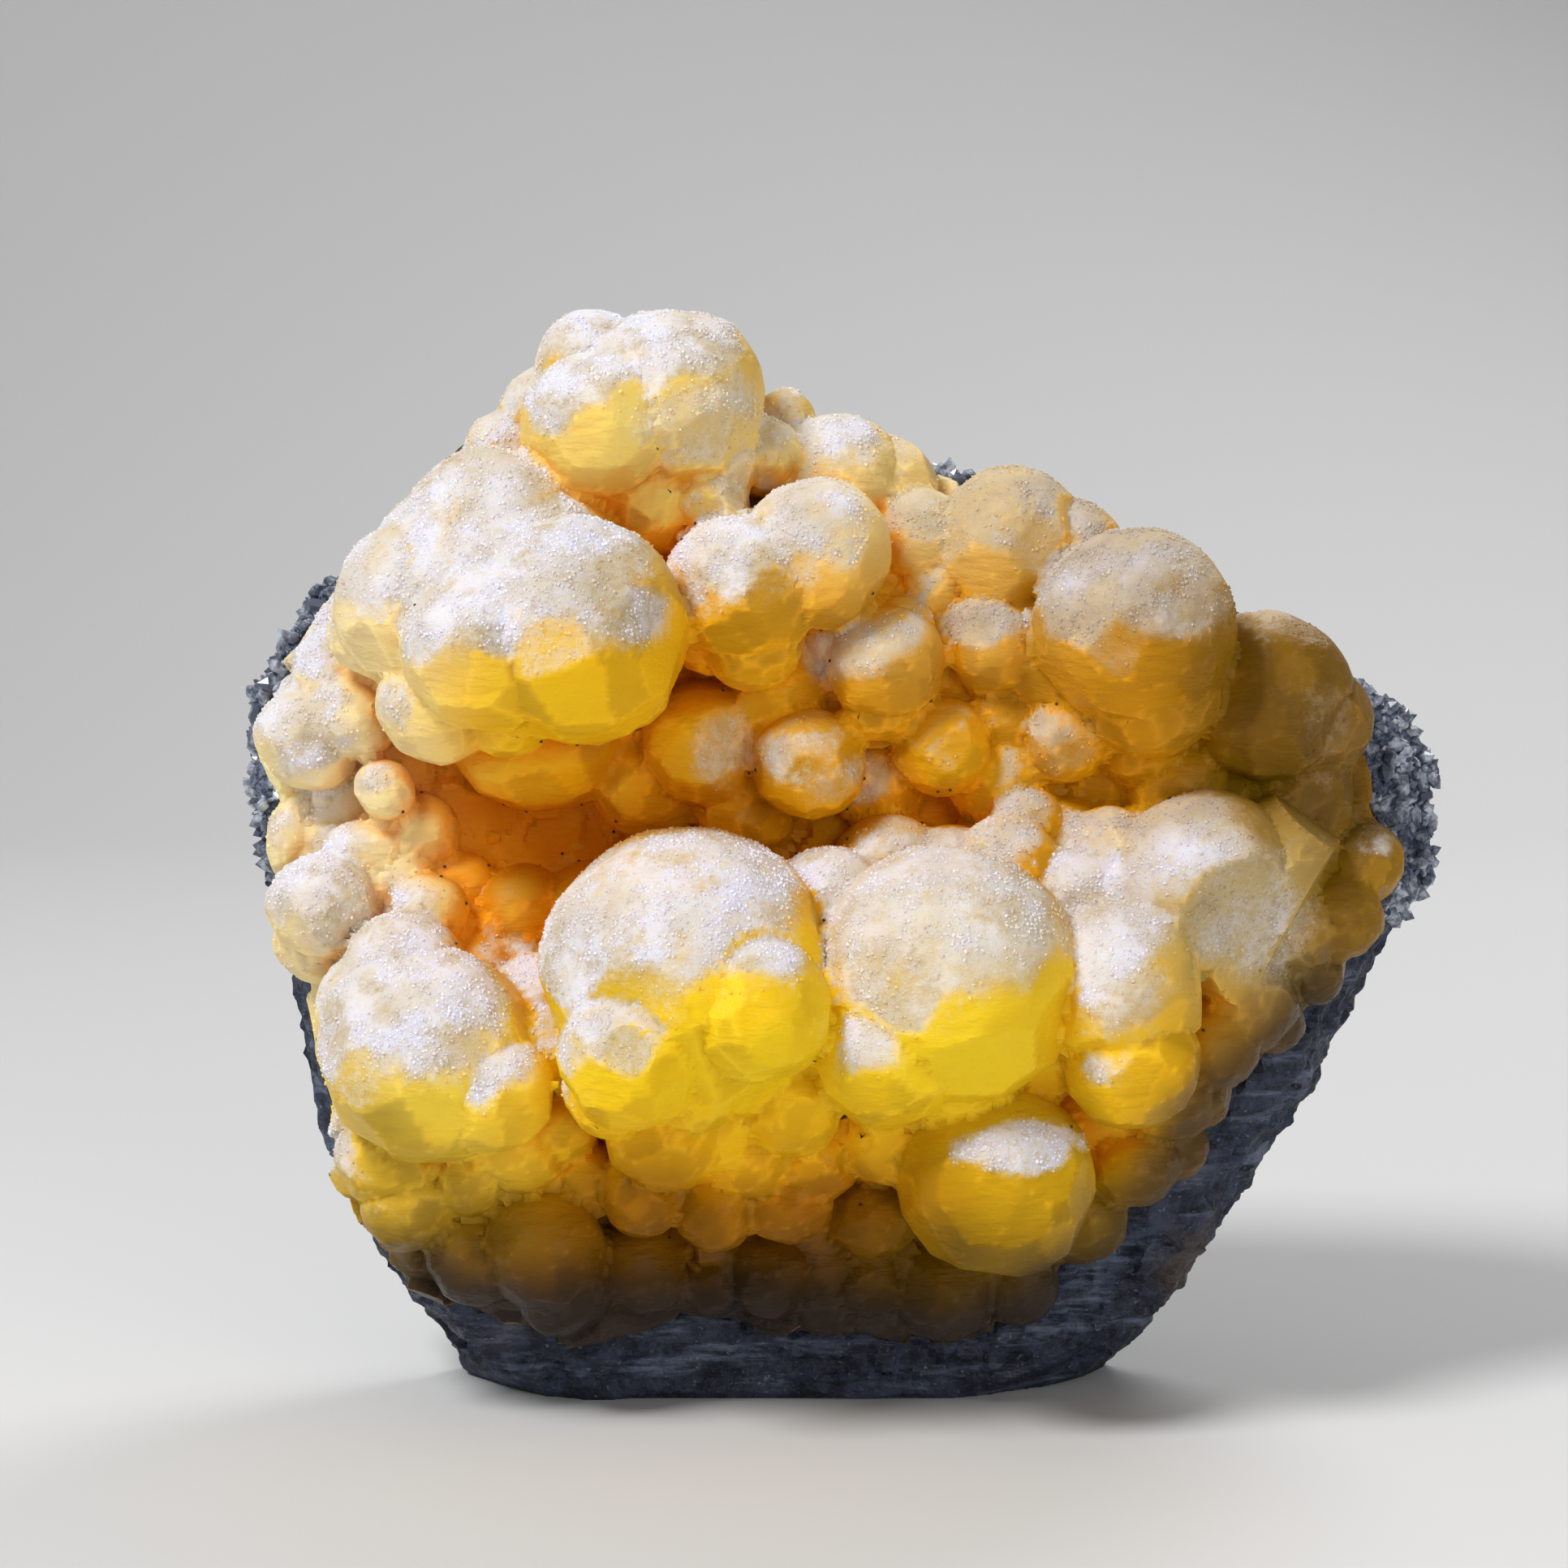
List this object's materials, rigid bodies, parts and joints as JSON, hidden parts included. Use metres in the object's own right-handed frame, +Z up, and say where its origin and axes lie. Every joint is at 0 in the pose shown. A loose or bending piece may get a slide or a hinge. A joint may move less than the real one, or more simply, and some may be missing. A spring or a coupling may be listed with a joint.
{
  "type": "mineral specimen",
  "caption": "Botryoidal yellow fluorite crust of fused spheres on a rough quartz matrix, standing upright on the matrix's flat foot as a display specimen.",
  "frame": {"origin": "middle of the specimen's box, on the flat foot of the matrix", "axes": "+X to the right as seen from the front, +Y from the crust towards the back of the matrix, +Z up"},
  "size_m": [0.1112, 0.0621, 0.1003],
  "materials": {
    "quartz": "rough broken rock with a white druse on its rim",
    "fluorite": "translucent yellow spheres frosted with fine pale grains on their upper sides"
  },
  "bodies": {
    "root": {"quartz_matrix": "quartz", "fluorite_crust": "fluorite"}
  },
  "joints": []
}
